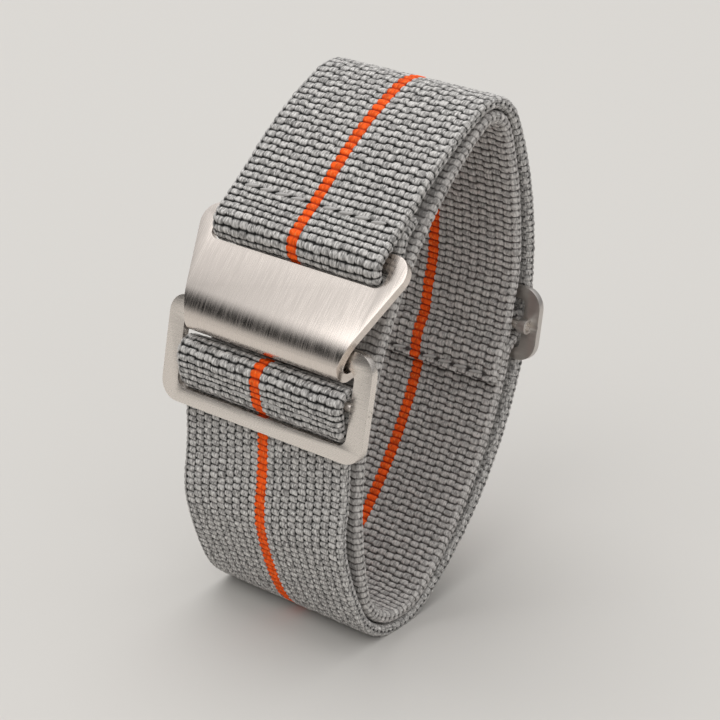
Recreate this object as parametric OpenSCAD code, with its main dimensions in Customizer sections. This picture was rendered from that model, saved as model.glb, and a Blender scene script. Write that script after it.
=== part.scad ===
// Stretch watch band: two elastic webbing straps, a hook clasp with its catch frame, and a slider.
// X runs across the webbing, -Y is the clasp side, +Z is up.
// The origin is the centre of the small flat that the closed band stands on.

/* [Webbing] */
// Width of the webbing, made for 20 mm watch lugs
web_w = 20; // [14:1:26]
// Thickness of one layer of webbing
web_t = 1.1; // [0.9:0.05:1.2]
// Gap between the two layers at the ends of the loop
layer_gap = 0.3; // [0.2:0.05:0.5]
// Width of the coloured warp column
stripe_w = 1.15; // [0.8:0.05:2.4]
// Depth of the coloured column below the webbing's face
stripe_depth = 0.35; // [0.2:0.05:0.5]
// Diameter of the sewing thread
thread_d = 0.24; // [0.2:0.02:0.3]
// Length of one stitch
stitch_len = 1.9; // [1.5:0.1:2.5]

/* [Loop] */
// Distance between the centres of the bottom and top turns
loop_len = 40.9; // [40:0.1:46]
// Lean of the loop towards the back, in degrees
loop_lean = 18.8; // [16:0.2:22]
// Outer radius of the bottom turn
bottom_r = 7.4; // [6.6:0.1:9]
// Outer radius of the top turn
top_r = 4.7; // [4.4:0.1:6]
// Outer radius of the clasp side
front_r = 34.2; // [32:0.2:38]
// Outer radius of the back
back_r = 37.6; // [34:0.2:44]
// Room that the clasp takes between the layers
clasp_room = 1.6; // [1.5:0.1:2.2]
// Room that the slider takes between the layers
slider_room = 0.8; // [0.75:0.05:1.4]
// Depth of the flat that the band stands on
rest_depth = 0.45; // [0.3:0.05:0.6]

/* [Hook] */
// Thickness of the hook's sheet metal
hook_t = 0.85; // [0.7:0.05:0.95]
// Length of the flat part of the hook's face, from its top edge to its bend
hook_len = 8.6; // [8.2:0.1:9]
// Outer radius of the bend below it, which turns the face in line with the catch frame
bend_r = 5.4; // [5:0.1:6]
// How much narrower than the catch frame the hook's top bar is, on each side
hook_step = 0.1; // [0:0.05:1]
// How much narrower the hook's lip is than the catch frame's window, on each side
lip_inset = 1.1; // [0.6:0.1:3]
// Height of the hook's top bar
hook_bar = 1.6; // [1.3:0.1:1.8]
// Height of the slot that the webbing passes through
hook_slot = 1.95; // [1.8:0.05:2.4]
// Inner radius of the fold that the catch frame hangs in
fold_r = 0.7; // [0.65:0.01:0.8]
// Length of the straight lip behind the frame's upper bar
hook_lip = 0.2; // [0.1:0.1:0.3]
// Lean of the hook's face back from the vertical, in degrees
hook_lean = 43.4; // [42:0.2:45]
// How far the hook's top edge lies below the webbing's face
hook_sink = 0.63; // [0.5:0.01:0.8]
// Bearing of the hook's top edge on the clasp side, in degrees
hook_bearing = 140.6; // [138:0.2:143]
// Radius of the hook's top corners
hook_corner = 2.2; // [1:0.1:3]

/* [Catch frame] */
// Thickness of the catch frame
frame_t = 0.8; // [0.65:0.05:0.85]
// Width of the side bars of the catch frame
frame_side = 1.95; // [1.4:0.05:3]
// Distance from the middle of the hook's fold to the frame's lower edge
frame_drop = 8.9; // [8.6:0.1:9.6]
// Height of the lower bar
frame_bar = 1.5; // [1.2:0.05:1.55]
// How far the upper bar reaches above the middle of the hook's fold
frame_rise = 1.6; // [1.4:0.05:1.75]
// Lean of the catch frame back from the vertical, in degrees
frame_lean = 12.2; // [11:0.2:13.4]
// Radius of the frame's outer corners
frame_corner = 2; // [1.5:0.1:2.5]
// Diameter of the bar that the webbing is sewn round
catch_bar_d = 0.9; // [0.7:0.05:1]
// Diameter of the ends of that bar, set in the side bars
bar_end_d = 0.5; // [0.35:0.05:0.5]
// Distance from the middle of the hook's fold to the middle of the sewn bar
catch_bar_drop = 3.7; // [3.65:0.05:4.2]

/* [Slider] */
// Thickness of the slider's plate
slider_t = 0.7; // [0.5:0.05:0.7]
// Length of the slider along the strap
slider_len = 7.4; // [6.8:0.1:8.4]
// Width of the slider's side walls
slider_side = 1.8; // [1.6:0.1:3]
// Width of the slider's end bars
slider_end = 1.2; // [0.9:0.1:1.4]
// Diameter of the slider's middle bar
slider_bar_d = 0.9; // [0.7:0.05:1]
// Thickness of the webbing pressed flat behind that bar
pressed_t = 0.75; // [0.6:0.05:0.8]
// Bearing of the slider on the back, in degrees
slider_bearing = -9.8; // [-12:0.2:-6]
// Length of the sewn flap below the slider's middle
flap_len = 6.2; // [5:0.1:8]

/* [Hidden] */
$fn = 96;

// Running gap between webbing and metal, and between layers that lie on each other
skin = 0.08;
// Gap round the coloured column in its groove
stripe_fit = 0.03;
// Gap between the webbing's edges and the metal beside them
side_fit = 0.35;
// Running fit of a bar's end in its hole, on the diameter
bore_fit = 0.04;
// Cut length that reaches past any solid of the part
far = 80;
// Flats round a length of sewing thread
yarn_sides = 8;
// Share of a large arc that stretches at each of its ends
stretch_share = 0.2;

grey = [0.54, 0.53, 0.52];
inner_grey = [0.47, 0.46, 0.45];
orange = [0.95, 0.35, 0.10];
steel = [0.80, 0.77, 0.74];
thread = [0.35, 0.35, 0.36];

// Points and bearings in the YZ plane
function on(c, r, a) = c + r * [cos(a), sin(a)];
function bearing(from, to) = atan2(to[1] - from[1], to[0] - from[0]);
function mix(a, b, f) = a + (b - a) * f;
function ease(f) = (1 - cos(180 * min(1, max(0, f)))) / 2;
function unit(v) = v / norm(v);
function turned(v) = [-v[1], v[0]];
function turn(c, r, a, b, n = 14) = [for (i = [0 : n]) on(c, r, mix(a, b, i / n))];

// The loop is two end turns joined by two large arcs that touch them from outside
function wide_centre(p, rp, q, rq, r, side) =
    let (d = norm(q - p), u = (q - p) / d, a = r - rp, b = r - rq,
         x = (a * a - b * b + d * d) / (2 * d))
    p + u * x + side * turned(u) * sqrt(a * a - x * x);
// Radius of the arc over the same chord whose crown is lower by drop
function flatter(r, drop) =
    let (h = loop_len / 2, s = r - sqrt(r * r - h * h) - drop) (h * h + s * s) / (2 * s);

bottom_c = [0, bottom_r - rest_depth];
top_c = bottom_c + loop_len * [sin(loop_lean), cos(loop_lean)];
inset = web_t + layer_gap;
in_front_r = flatter(front_r - inset, clasp_room);
in_back_r = flatter(back_r - inset, slider_room);

// Each strap's arcs: centre, outer radius, and the bearings of its two ends
function arcs(fr, br, less) =
    let (fc = wide_centre(bottom_c, bottom_r - less, top_c, top_r - less, fr, -1),
         bc = wide_centre(bottom_c, bottom_r - less, top_c, top_r - less, br, 1))
    [[bottom_c, bottom_r - less, bearing(fc, bottom_c), bearing(bc, bottom_c)],
     [bc, br, bearing(bc, bottom_c), bearing(bc, top_c)],
     [top_c, top_r - less, bearing(bc, top_c), bearing(fc, top_c)],
     [fc, fr, bearing(fc, top_c), bearing(fc, bottom_c) + 360]];
outer = arcs(front_r, back_r, 0);
inner = arcs(in_front_r, in_back_r, inset);
bottom_arc = 0;
back_arc = 1;
top_arc = 2;
front_arc = 3;
front_c = outer[front_arc][0];
back_c = outer[back_arc][0];
front_mid = front_r - web_t / 2;
function along(arc, f) = mix(arc[2], arc[3], f);

// Hook: its face runs down from its top edge and bends in line with the catch frame, and the
// fold below the bend holds the frame's upper bar
hook_down = [-sin(hook_lean), -cos(hook_lean)];
hook_out = [-cos(hook_lean), sin(hook_lean)];
hook_edge = on(front_c, front_r - hook_sink, hook_bearing);
function on_hook(down, out) = hook_edge + down * hook_down + out * hook_out;
frame_down = [-sin(frame_lean), -cos(frame_lean)];
frame_in = [cos(frame_lean), -sin(frame_lean)];
hook_bend = hook_lean - frame_lean;
fold_out = fold_r + hook_t;
fold_c = on_hook(hook_len, -bend_r) + (fold_out - bend_r) * frame_in;

// The webbing's turn round the hook's top bar, and where its sewn end stops
hook_turn_c = on_hook(hook_bar - hook_t / 2, -hook_t / 2);
hook_turn_r = norm([hook_t, hook_t]) / 2 + skin / 2 + web_t / 2;
hook_tail = 4.2;
hook_join = bearing(front_c, on_hook(-hook_tail - 0.4, 0));

// Catch frame: it hangs in the fold, against the lip, and leans with the strap
lip_gap = 0.1;
// How far that bar reaches below the fold's middle
frame_sink = 0.15;
frame_c = fold_c + (fold_r - lip_gap - frame_t / 2) * frame_in;
window_w = web_w + 2 * side_fit;
frame_w = window_w + 2 * frame_side;
hook_top_w = frame_w - 2 * hook_step;
catch_bar_c = frame_c + catch_bar_drop * frame_down;
catch_turn_r = catch_bar_d / 2 + skin + web_t / 2;
function in_frame(down, in) = frame_c + down * frame_down + in * frame_in;
behind_bar = frame_t / 2 + skin + web_t / 2;
under_bar = in_frame(frame_drop - frame_bar / 2, behind_bar);
over_bar = in_frame(frame_drop - frame_bar - skin - web_t / 3, behind_bar);
under_bearing = bearing(front_c, under_bar) + (bearing(front_c, under_bar) < 0 ? 360 : 0);
catch_join = mix(under_bearing, outer[front_arc][3], 0.6);
under_sink = front_mid - norm(under_bar - front_c);
// Where the webbing stands proud of the frame, above its lower bar
proud_rise = 1;
proud_out = 0.2;
ply_gap = 0.05;
seam_up = 0.6;

// Slider: its plate is a chord across the outer strap's inner face
slider_sag = pow(slider_len / 2, 2) / (2 * (back_r - web_t));
slider_top_r = back_r - web_t - slider_sag - skin;
slider_win = slider_len - 2 * slider_end;
slider_w = window_w + 2 * slider_side;
slider_bar_r = back_r - web_t - 2 * skin - pressed_t - slider_bar_d / 2;
slider_bar_c = on(back_c, slider_bar_r, slider_bearing);
degree_len = slider_bar_r * PI / 180;
pocket_up = 5.6;
pocket_low = 8.2;
function back_at(s) = slider_bearing + s / degree_len;
// Radius about the back's centre of the inner strap's outer face, at a bearing
function in_face(a) =
    let (v = inner[back_arc][0] - back_c, u = [cos(a), sin(a)], k = v * u)
    k + sqrt(in_back_r * in_back_r - v * v + k * k);

module across(w) {
    rotate([90, 0, 90]) linear_extrude(w, center = true) children();
}

module wedge(c, a, b) {
    polygon([c, on(c, far, a), on(c, 2 * far, (a + b) / 2), on(c, far, b)]);
}

module ring(c, r, t) {
    translate(c) difference() {
        circle(r);
        circle(r - t);
    }
}

module arc_band(arc, from_r, t, a, b) {
    intersection() {
        ring(arc[0], from_r, t);
        wedge(arc[0], a, b);
    }
}

// One stretch of a strap between two bearings, grooved for the coloured column.
// Straps show their column on the outside of the loop, or on its inside where inward is 1
module strap(arc, a, b, inward) {
    groove = stripe_depth + stripe_fit;
    difference() {
        across(web_w) arc_band(arc, arc[1], web_t, a, b);
        across(stripe_w + 2 * stripe_fit)
            arc_band(arc, inward == 1 ? arc[1] - web_t + groove : arc[1] + groove,
                     2 * groove, a - 1, b + 1);
    }
}

module column(arc, a, b, inward) {
    across(stripe_w)
        arc_band(arc, inward == 1 ? arc[1] - web_t + stripe_depth : arc[1], stripe_depth, a, b);
}

// A ribbon along points [y, z, thickness], from one share of its thickness to another
function heading(p, i) =
    let (n = len(p), a = [p[i][0], p[i][1]], before = max(i - 1, 0), after = min(i + 1, n - 1),
         u = i == 0 ? undef : unit(a - [p[before][0], p[before][1]]),
         v = i == n - 1 ? undef : unit([p[after][0], p[after][1]] - a),
         s = i == 0 ? v : u, e = i == n - 1 ? u : v, m = unit(turned(s) + turned(e)))
    m / (m * turned(s));
module lane(p, low, high) {
    polygon(concat(
        [for (i = [0 : len(p) - 1]) [p[i][0], p[i][1]] + heading(p, i) * low(p[i][2])],
        [for (i = [len(p) - 1 : -1 : 0]) [p[i][0], p[i][1]] + heading(p, i) * high(p[i][2])]));
}
function thick(points, t) = [for (q = points) [q[0], q[1], t]];

// Webbing along a path, its groove on the left-hand face where left is 1, or on the right
module ribbon(p, left) {
    groove = stripe_depth + stripe_fit;
    difference() {
        across(web_w) lane(p, function (t) -t / 2, function (t) t / 2);
        across(stripe_w + 2 * stripe_fit)
            if (left == 1) lane(p, function (t) t / 2 - groove, function (t) t / 2 + groove);
            else lane(p, function (t) -t / 2 - groove, function (t) -t / 2 + groove);
    }
}
module ribbon_column(p, left) {
    across(stripe_w)
        if (left == 1) lane(p, function (t) t / 2 - stripe_depth, function (t) t / 2);
        else lane(p, function (t) -t / 2, function (t) stripe_depth - t / 2);
}

// Local frame of a plate: its face towards the clasp side, y' towards the wrist, z' up
module plate_at(p, lean) {
    translate([0, p[0], p[1]]) rotate([-lean, 0, 0]) children();
}
module sheet(t) {
    rotate([90, 0, 0]) linear_extrude(t, center = true) children();
}

// Outline with rounded corners: points in order round the shape, one radius each
function corner(p, q, s, r, n = 8) =
    let (u = unit(p - q), v = unit(s - q), half = acos(u * v) / 2, reach = r / tan(half),
         c = q + unit(u + v) * r / sin(half), a = bearing(c, q + u * reach),
         b = bearing(c, q + v * reach), d = b - a, w = d > 180 ? d - 360 : d < -180 ? d + 360 : d)
    [for (i = [0 : n]) on(c, r, a + w * i / n)];
function rounded(p, r) =
    let (n = len(p))
    [for (i = [0 : n - 1]) each corner(p[(i + n - 1) % n], p[i], p[(i + 1) % n], r[i])];
function box(w, low, high) = [[-w / 2, low], [w / 2, low], [w / 2, high], [-w / 2, high]];

module yarn(d, h) {
    rotate(180 / yarn_sides) cylinder(d = d, h = h, $fn = yarn_sides);
}

// A row of running stitches across the webbing through a stack of plies.
// It starts at point p, goes into the stack along bearing a, and the stack is deep thick.
// With a fit of more than nothing it draws the holes and dents that the thread lies in
module stitches(p, a, deep, fit) {
    d = thread_d + fit;
    n = 2 * floor((web_w - stitch_len) / stitch_len / 2) + 1;
    translate([0, p[0], p[1]]) rotate([a, 0, 0]) for (i = [0 : n]) {
        x = (i - n / 2) * stitch_len;
        translate([x, -d / 2, 0]) rotate([-90, 0, 0]) yarn(d, deep + d);
        if (i < n) translate([x, i % 2 == 0 ? 0 : deep, 0]) rotate([0, 90, 0]) yarn(d, stitch_len);
    }
}

// Outer strap
module outer_bottom() {
    color(grey) difference() {
        strap(outer[bottom_arc], outer[bottom_arc][2], outer[bottom_arc][3], 0);
        translate([-far / 2, -far / 2, -far]) cube(far);
    }
}
module outer_back_lower() {
    color(grey) strap(outer[back_arc], outer[back_arc][2], along(outer[back_arc], stretch_share), 0);
}
module outer_back() {
    color(grey) strap(outer[back_arc], along(outer[back_arc], stretch_share),
                      along(outer[back_arc], 1 - stretch_share), 0);
}
module outer_back_upper() {
    color(grey) strap(outer[back_arc], along(outer[back_arc], 1 - stretch_share),
                      outer[back_arc][3], 0);
}
module outer_top() {
    color(grey) strap(outer[top_arc], outer[top_arc][2], outer[top_arc][3], 0);
}
module outer_front_upper() {
    color(grey) strap(outer[front_arc], outer[front_arc][2], hook_join, 0);
}
module outer_front_lower() {
    color(grey) strap(outer[front_arc], catch_join, outer[front_arc][3], 0);
}

// The outer strap's upper end: down over the hook's top bar, round it, and back up inside
hook_ply = on_hook(-1, skin + web_t / 2);
hook_meet = on(front_c, front_mid, hook_join);
hook_ply_in = turned(unit(hook_meet - hook_ply)) * -(web_t + skin / 2);
hook_path = thick(concat(
    [on(front_c, front_mid, hook_join - 2), hook_meet, hook_ply],
    turn(hook_turn_c, hook_turn_r, bearing([0, 0], hook_out), bearing([0, 0], hook_out) + 180),
    [on_hook(-0.2, -hook_t - skin - web_t / 2), mix(hook_ply, hook_meet, 0.3) + hook_ply_in,
     mix(hook_ply, hook_meet, 0.9) + hook_ply_in]), web_t);
module hook_loop() {
    color(grey) difference() {
        ribbon(hook_path, 0);
        across(web_w + 1) wedge(front_c, hook_join - 60, hook_join);
        hook_stitches(bore_fit);
    }
}
module hook_stitches(fit) {
    stitches(mix(hook_ply, hook_meet, 0.55) - hook_ply_in / 2, bearing([0, 0], hook_ply_in),
             2 * web_t + skin / 2, fit);
}
module hook_seam() {
    color(thread) hook_stitches(0);
}

// The outer strap's lower end: behind the frame's lower bar, round the sewn bar, and down inside
catch_dip = [for (i = [-1 : 6])
    on(front_c, front_mid - under_sink * ease(i / 4), mix(catch_join, under_bearing, i / 6))];
proud = in_frame(frame_drop - frame_bar - proud_rise, -proud_out);
catch_in = bearing(proud, catch_bar_c) + 90 + asin(catch_turn_r / norm(catch_bar_c - proud));
catch_top = on(catch_bar_c, catch_turn_r, catch_in);
catch_up = unit(catch_top - proud);
catch_tail = norm(catch_top - proud) - 0.4;
function in_tail(down, in) = catch_top - down * catch_up - in * turned(catch_up);
tail_end = in_tail(catch_tail, web_t + ply_gap);
catch_out = bearing(catch_bar_c, tail_end) + acos(catch_turn_r / norm(tail_end - catch_bar_c));
tail_run = unit(tail_end - on(catch_bar_c, catch_turn_r, catch_out));
catch_path = thick(concat(catch_dip, [over_bar, proud],
    turn(catch_bar_c, catch_turn_r, catch_in, catch_out, 20), [tail_end]), web_t);
// Where the seam's threads cross the tail, and how deep the two plies are there
seam_at = tail_end - seam_up * tail_run;
tail_deep = -web_t / 2 / (tail_run * catch_up);
catch_deep = tail_deep - (seam_at - catch_top) * turned(catch_up) + web_t / 2;
module catch_loop() {
    color(grey) difference() {
        ribbon(catch_path, 1);
        across(web_w + 1) wedge(front_c, catch_join, catch_join + 60);
        catch_stitches(bore_fit);
    }
}
module catch_stitches(fit) {
    stitches(seam_at - tail_deep * turned(catch_up), bearing([0, 0], turned(catch_up)),
             catch_deep, fit);
}
module catch_seam() {
    color(thread) catch_stitches(0);
}
module outer_stripe() {
    color(orange) {
        difference() {
            union() {
                for (i = [bottom_arc, back_arc, top_arc])
                    column(outer[i], outer[i][2], outer[i][3], 0);
                column(outer[front_arc], outer[front_arc][2], hook_join, 0);
                column(outer[front_arc], catch_join, outer[front_arc][3], 0);
            }
            translate([-far / 2, -far / 2, -far]) cube(far);
        }
        difference() {
            ribbon_column(hook_path, 0);
            across(web_w) wedge(front_c, hook_join - 60, hook_join);
            hook_stitches(bore_fit);
        }
        difference() {
            ribbon_column(catch_path, 1);
            across(web_w) wedge(front_c, catch_join, catch_join + 60);
            catch_stitches(bore_fit);
        }
    }
}

// Inner strap
module inner_bottom() {
    color(inner_grey) strap(inner[bottom_arc], inner[bottom_arc][2], inner[bottom_arc][3], 1);
}
module inner_top() {
    color(inner_grey) strap(inner[top_arc], inner[top_arc][2], inner[top_arc][3], 1);
}
module inner_front_upper() {
    color(inner_grey) strap(inner[front_arc], inner[front_arc][2],
                            along(inner[front_arc], stretch_share), 1);
}
module inner_front() {
    color(inner_grey) strap(inner[front_arc], along(inner[front_arc], stretch_share),
                            along(inner[front_arc], 1 - stretch_share), 1);
}
module inner_front_lower() {
    color(inner_grey) strap(inner[front_arc], along(inner[front_arc], 1 - stretch_share),
                            inner[front_arc][3], 1);
}
module inner_back_upper() {
    color(inner_grey) difference() {
        strap(inner[back_arc], slider_bearing, inner[back_arc][3], 1);
        across(web_w + 1) wedge(back_c, back_at(-20), back_at(pocket_up));
    }
}
module inner_back_lower() {
    color(inner_grey) difference() {
        strap(inner[back_arc], inner[back_arc][2], slider_bearing, 1);
        across(web_w + 1) wedge(back_c, back_at(-pocket_low), back_at(20));
    }
}

// The inner strap's two ends, sewn together with the slider's bar between them
bar_ply_r = slider_bar_r - slider_bar_d / 2 - skin - web_t / 2;
function run_mid(s) = in_face(back_at(s)) - web_t / 2;
function pocket_pt(s, r, t) = let (q = on(back_c, r, back_at(s))) [q[0], q[1], t];
flap_path = [for (s = [pocket_up + 1, pocket_up, 4.8, 4, 3.2, 2.4, 1.6, 0.8, 0, -0.8, -1.6, -2.4,
                       -3.2, -4, -flap_len])
    pocket_pt(s, s > 1 ? mix(bar_ply_r, run_mid(s), ease((s - 1) / (pocket_up - 1)))
                       : mix(bar_ply_r, run_mid(s) - web_t - skin, ease((-s - 0.8) / 3)), web_t)];
press_r = back_r - web_t - skin - pressed_t / 2;
under_path = [for (s = [-pocket_low - 1, -pocket_low, -5, -3.7, -2.9, -2.3, -1.8, -1.3, -0.8, 0, 0.8,
                        1.4])
    let (f = ease((s + 2.9) / 1.8)) pocket_pt(s, mix(run_mid(s), press_r, f), mix(web_t, pressed_t, f))];
module slider_pocket() {
    color(inner_grey) difference() {
        union() {
            ribbon(flap_path, 0);
            ribbon(under_path, 1);
        }
        across(web_w + 1) wedge(back_c, back_at(pocket_up), back_at(pocket_up + 20));
        across(web_w + 1) wedge(back_c, back_at(-pocket_low - 20), back_at(-pocket_low));
        slider_stitches(bore_fit);
    }
}
module slider_stitches(fit) {
    a = back_at(0.8 - flap_len);
    deep = 2 * web_t + skin;
    stitches(on(back_c, run_mid(0.8 - flap_len) + web_t / 2 - deep, a), a, deep, fit);
}
module slider_seam() {
    color(thread) slider_stitches(0);
}
module inner_stripe() {
    color(orange) {
        for (i = [bottom_arc, top_arc, front_arc]) column(inner[i], inner[i][2], inner[i][3], 1);
        difference() {
            column(inner[back_arc], inner[back_arc][2], inner[back_arc][3], 1);
            across(web_w) wedge(back_c, back_at(-pocket_low), back_at(pocket_up));
        }
        difference() {
            ribbon_column(flap_path, 0);
            across(web_w) wedge(back_c, back_at(pocket_up), back_at(pocket_up + 20));
            slider_stitches(bore_fit);
        }
    }
}

// Hook: a stamped plate with a slot for the webbing, a gentle bend, and a fold along its lower edge
bend_at = [bend_r, -hook_len];
fold_at = bend_at + (fold_out - bend_r) * [cos(hook_bend), sin(hook_bend)];
fold_mid = fold_r + hook_t / 2;
fold_step = 7.5;
hook_path_in = concat([[hook_t / 2, 0]],
    turn(bend_at, bend_r - hook_t / 2, 180, 180 + hook_bend, 12),
    turn(fold_at, fold_mid, 180 + hook_bend + fold_step, 360 + hook_bend, 180 / fold_step - 1),
    [on(fold_at, fold_mid, hook_bend) + hook_lip * [-sin(hook_bend), cos(hook_bend)]]);
module hook_profile() {
    lane(thick(hook_path_in, hook_t), function (t) -t / 2, function (t) t / 2);
}
module hook_plate() {
    lip_w = window_w - 2 * lip_inset;
    low = -hook_len - bend_r;
    outline = [[-lip_w / 2, low], [lip_w / 2, low], [lip_w / 2, -hook_len - bend_r * sin(hook_bend)],
               [hook_top_w / 2, -hook_corner], [hook_top_w / 2, 0], [-hook_top_w / 2, 0],
               [-hook_top_w / 2, -hook_corner], [-lip_w / 2, -hook_len - bend_r * sin(hook_bend)]];
    color(steel) plate_at(hook_edge, hook_lean) difference() {
        intersection() {
            across(hook_top_w) hook_profile();
            sheet(far) polygon(rounded(outline, [0.3, 0.3, 0.3, 0.4, hook_corner - 0.4,
                                                 hook_corner - 0.4, 0.4, 0.3]));
        }
        sheet(4 * hook_t)
            polygon(rounded(box(window_w, -hook_bar - hook_slot, -hook_bar), [0.9, 0.9, 0.4, 0.4]));
    }
}

// Catch frame: a flat rectangle; its upper bar sits in the hook's fold
module catch_frame() {
    color(steel) plate_at(frame_c, frame_lean) difference() {
        sheet(frame_t) polygon(rounded(box(frame_w, -frame_drop, frame_rise),
                                       [for (i = [0 : 3]) frame_corner]));
        sheet(2 * frame_t) polygon(rounded(box(window_w, -frame_drop + frame_bar, -frame_sink),
                                           [for (i = [0 : 3]) frame_corner / 2]));
        translate([0, 0, -catch_bar_drop]) rotate([0, 90, 0])
            cylinder(d = bar_end_d + bore_fit, h = far, center = true);
    }
}
module catch_bar() {
    color(steel) plate_at(catch_bar_c, frame_lean) rotate([0, 90, 0]) {
        cylinder(d = catch_bar_d, h = window_w - bore_fit, center = true);
        cylinder(d = bar_end_d, h = frame_w, center = true);
    }
}

// Slider: a flat frame between the layers, with a round bar held in two bosses
module slider_frame() {
    boss_d = slider_bar_d + 0.6;
    boss_w = slider_side / 2;
    color(steel) difference() {
        union() {
            plate_at(on(back_c, slider_top_r - slider_t / 2, slider_bearing), -slider_bearing)
                difference() {
                    sheet(slider_t) polygon(rounded(box(slider_w, -slider_len / 2, slider_len / 2),
                                                    [for (i = [0 : 3]) 2]));
                    sheet(2 * slider_t) polygon(rounded(box(window_w, -slider_win / 2, slider_win / 2),
                                                        [for (i = [0 : 3]) 0.6]));
                }
            for (side = [-1, 1])
                translate([side * ((window_w + boss_w) / 2 + skin), slider_bar_c[0], slider_bar_c[1]])
                    rotate([0, 90, 0]) cylinder(d = boss_d, h = boss_w, center = true);
        }
        translate([0, slider_bar_c[0], slider_bar_c[1]]) rotate([0, 90, 0])
            cylinder(d = slider_bar_d + bore_fit, h = far, center = true);
    }
}
module slider_bar() {
    color(steel) translate([0, slider_bar_c[0], slider_bar_c[1]]) rotate([0, 90, 0])
        cylinder(d = slider_bar_d, h = window_w + slider_side, center = true);
}

outer_bottom();
outer_back_lower();
outer_back();
outer_back_upper();
outer_top();
outer_front_upper();
outer_front_lower();
hook_loop();
hook_seam();
catch_loop();
catch_seam();
outer_stripe();
inner_bottom();
inner_front_lower();
inner_front();
inner_front_upper();
inner_top();
inner_back_upper();
inner_back_lower();
slider_pocket();
slider_seam();
inner_stripe();
hook_plate();
catch_frame();
catch_bar();
slider_frame();
slider_bar();
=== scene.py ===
import math

import bmesh
import bpy
import numpy as np
from mathutils import Matrix, Vector


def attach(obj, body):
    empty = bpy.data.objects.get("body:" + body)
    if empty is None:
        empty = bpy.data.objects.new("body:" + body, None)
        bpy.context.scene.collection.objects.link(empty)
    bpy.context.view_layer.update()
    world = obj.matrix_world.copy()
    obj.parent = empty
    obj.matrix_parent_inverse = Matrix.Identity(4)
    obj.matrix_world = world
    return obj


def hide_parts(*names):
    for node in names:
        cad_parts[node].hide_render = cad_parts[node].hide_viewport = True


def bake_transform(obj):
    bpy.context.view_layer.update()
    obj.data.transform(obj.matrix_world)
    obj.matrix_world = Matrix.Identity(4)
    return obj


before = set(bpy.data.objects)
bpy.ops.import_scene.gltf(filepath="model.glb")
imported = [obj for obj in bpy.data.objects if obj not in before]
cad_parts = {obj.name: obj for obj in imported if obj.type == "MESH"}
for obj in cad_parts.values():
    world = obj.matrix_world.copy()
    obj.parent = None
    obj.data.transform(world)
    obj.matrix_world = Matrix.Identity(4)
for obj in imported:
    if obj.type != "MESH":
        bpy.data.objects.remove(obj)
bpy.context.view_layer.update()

# Camera
# A long lens in front of the clasp, to its right and above, that looks at the middle of the loop.
# The sizes of the pieces further down are in millimetres, and MM brings them to Blender's metres.
MM = 0.001
aim = Vector((1.76, 3.58, 24.92)) * MM
camera_away = 210.9 * MM
camera_azimuth = math.radians(39.08)
camera_elevation = math.radians(25)
look = Vector((-math.sin(camera_azimuth) * math.cos(camera_elevation),
               math.cos(camera_azimuth) * math.cos(camera_elevation),
               -math.sin(camera_elevation)))
camera_data = bpy.data.cameras.new("camera")
camera_data.lens = 110
camera_data.sensor_width = 36
camera_data.clip_start = 0.01
camera_data.clip_end = 20


def add_object(name, data):
    """A new object of the scene, at the origin."""
    thing = bpy.data.objects.new(name, data)
    bpy.context.collection.objects.link(thing)
    return thing


def turn_toward(thing, direction):
    """Turns a camera or a lamp, which look down their own -Z, to look along a direction."""
    thing.rotation_mode = "QUATERNION"
    thing.rotation_quaternion = direction.to_track_quat("-Z", "Y")


camera = add_object("camera", camera_data)
camera.location = aim - look * camera_away
turn_toward(camera, look)
bpy.context.scene.camera = camera
bpy.context.scene.view_settings.view_transform = "Standard"

# Floor and light
# A plain pale table top under a wide soft sky, with large lamps in front, above and at the side.
# A dark screen stands low on the camera's left; the bend of the hook shows it as a dark band.
floor_colour = (0.63, 0.611, 0.582, 1)
floor_size = 6.0
bright_side = Vector((-0.571, -0.48, 0.666))
screen_side = Vector((-0.62, -0.785, 0))


def mesh_from(bm, name):
    """Puts a finished bmesh into a new mesh."""
    mesh = bpy.data.meshes.new(name)
    bm.to_mesh(mesh)
    bm.free()
    return mesh


def matt_material(name, colour, roughness):
    """A matt material of one colour, and its shader for further settings."""
    mat = bpy.data.materials.new(name)
    mat.use_nodes = True
    shader = mat.node_tree.nodes["Principled BSDF"]
    shader.inputs["Base Color"].default_value = colour
    shader.inputs["Roughness"].default_value = roughness
    return mat, shader


bm = bmesh.new()
bmesh.ops.create_grid(bm, x_segments=2, y_segments=2, size=floor_size / 2)
floor = add_object("floor", mesh_from(bm, "floor"))
floor_paint, floor_shader = matt_material("floor_paint", floor_colour, 0.9)
floor_shader.inputs["Specular IOR Level"].default_value = 0.1
floor.data.materials.append(floor_paint)

world = bpy.data.worlds.new("studio")
bpy.context.scene.world = world
world.use_nodes = True
wn, wl = world.node_tree.nodes, world.node_tree.links
direction = wn.new("ShaderNodeTexCoord")
split = wn.new("ShaderNodeSeparateXYZ")
wl.new(direction.outputs["Generated"], split.inputs[0])


def sky_ramp(stops):
    """A grey ramp over the height of the direction, from the horizon at 0 to straight up at 1."""
    ramp = wn.new("ShaderNodeValToRGB")
    for k, (place, grey) in enumerate(stops):
        stop = ramp.color_ramp.elements[k] if k < 2 else ramp.color_ramp.elements.new(place)
        stop.position = place
        stop.color = (grey, grey, grey, 1)
    wl.new(split.outputs["Z"], ramp.inputs["Fac"])
    return ramp


def toward(side, low, high, least, most):
    """A value that grows from least to most toward one side of the sky. Low and high are cosines
    of the angle to that side."""
    dot = wn.new("ShaderNodeVectorMath")
    dot.operation = "DOT_PRODUCT"
    dot.inputs[1].default_value = side
    share = wn.new("ShaderNodeMapRange")
    share.interpolation_type = "SMOOTHSTEP"
    share.inputs["From Min"].default_value = low
    share.inputs["From Max"].default_value = high
    share.inputs["To Min"].default_value = least
    share.inputs["To Max"].default_value = most
    wl.new(direction.outputs["Generated"], dot.inputs[0])
    wl.new(dot.outputs["Value"], share.inputs["Value"])
    return share


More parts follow.
